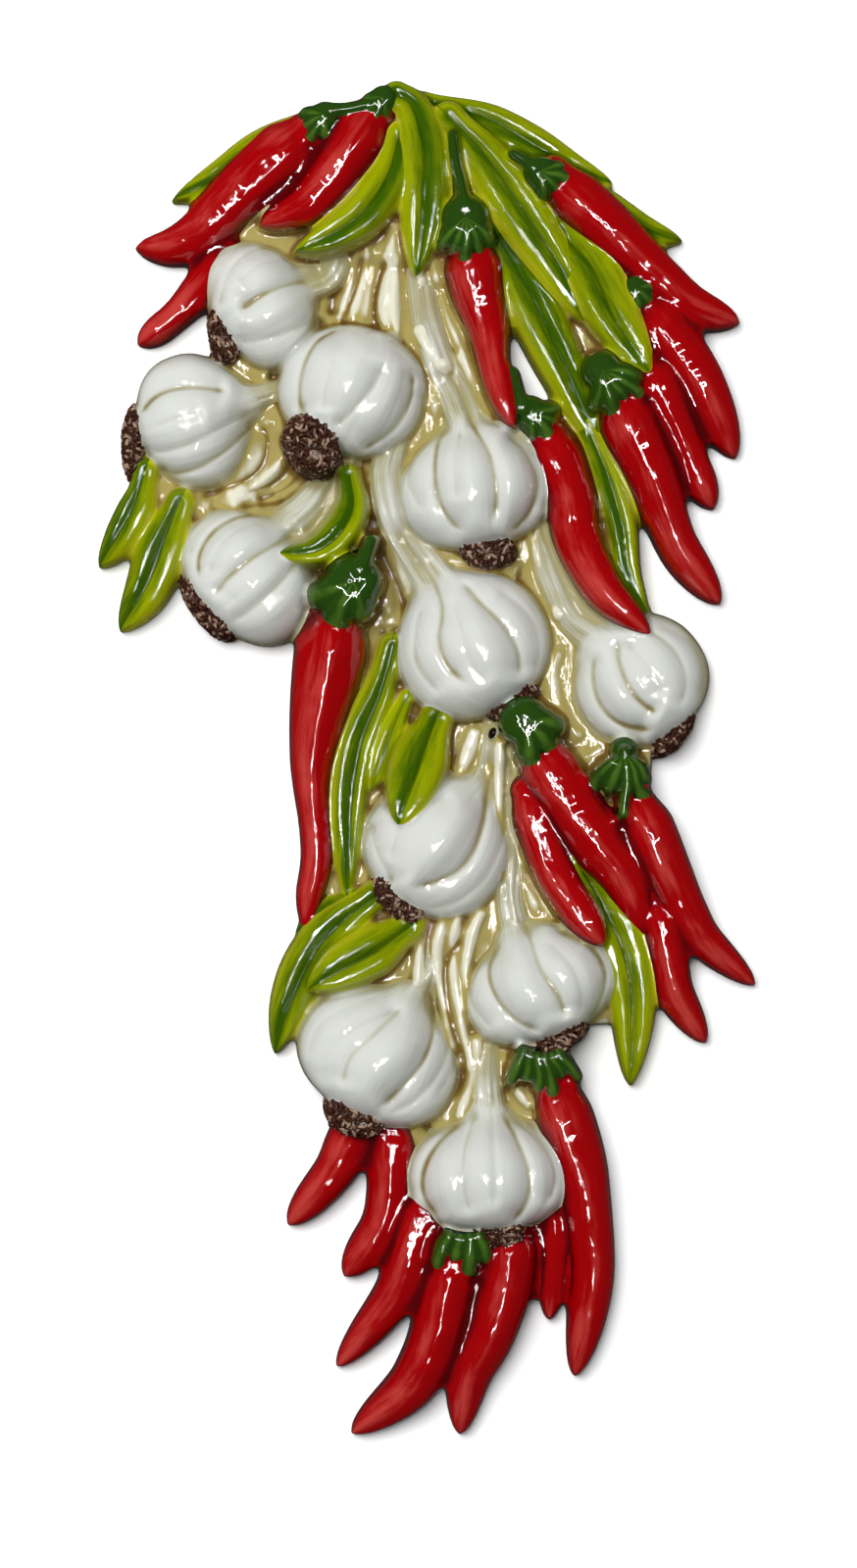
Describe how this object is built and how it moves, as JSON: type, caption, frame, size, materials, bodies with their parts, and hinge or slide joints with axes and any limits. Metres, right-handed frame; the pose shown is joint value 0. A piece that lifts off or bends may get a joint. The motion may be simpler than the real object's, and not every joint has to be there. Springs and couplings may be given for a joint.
{
  "type": "ceramic garlic braid wall plaque",
  "caption": "Glazed ceramic relief of a hanging braid of garlic heads, red chillies and green leaves, with a flat back.",
  "frame": {"origin": "centre of the flat back, on the surface that the plaque lies on", "axes": "+Y up the braid towards its crown of leaves, +X across it to the right as it hangs, +Z out of the back through the relief"},
  "size_m": [0.2237, 0.4606, 0.0335],
  "materials": {
    "stalk_glaze": "gloss",
    "garlic_glaze": "gloss",
    "chilli_glaze": "gloss",
    "leaf_glaze": "gloss",
    "calyx_glaze": "gloss",
    "root_glaze": "satin"
  },
  "bodies": {
    "root": {"ceramic_braid": "stalk_glaze"}
  },
  "joints": []
}
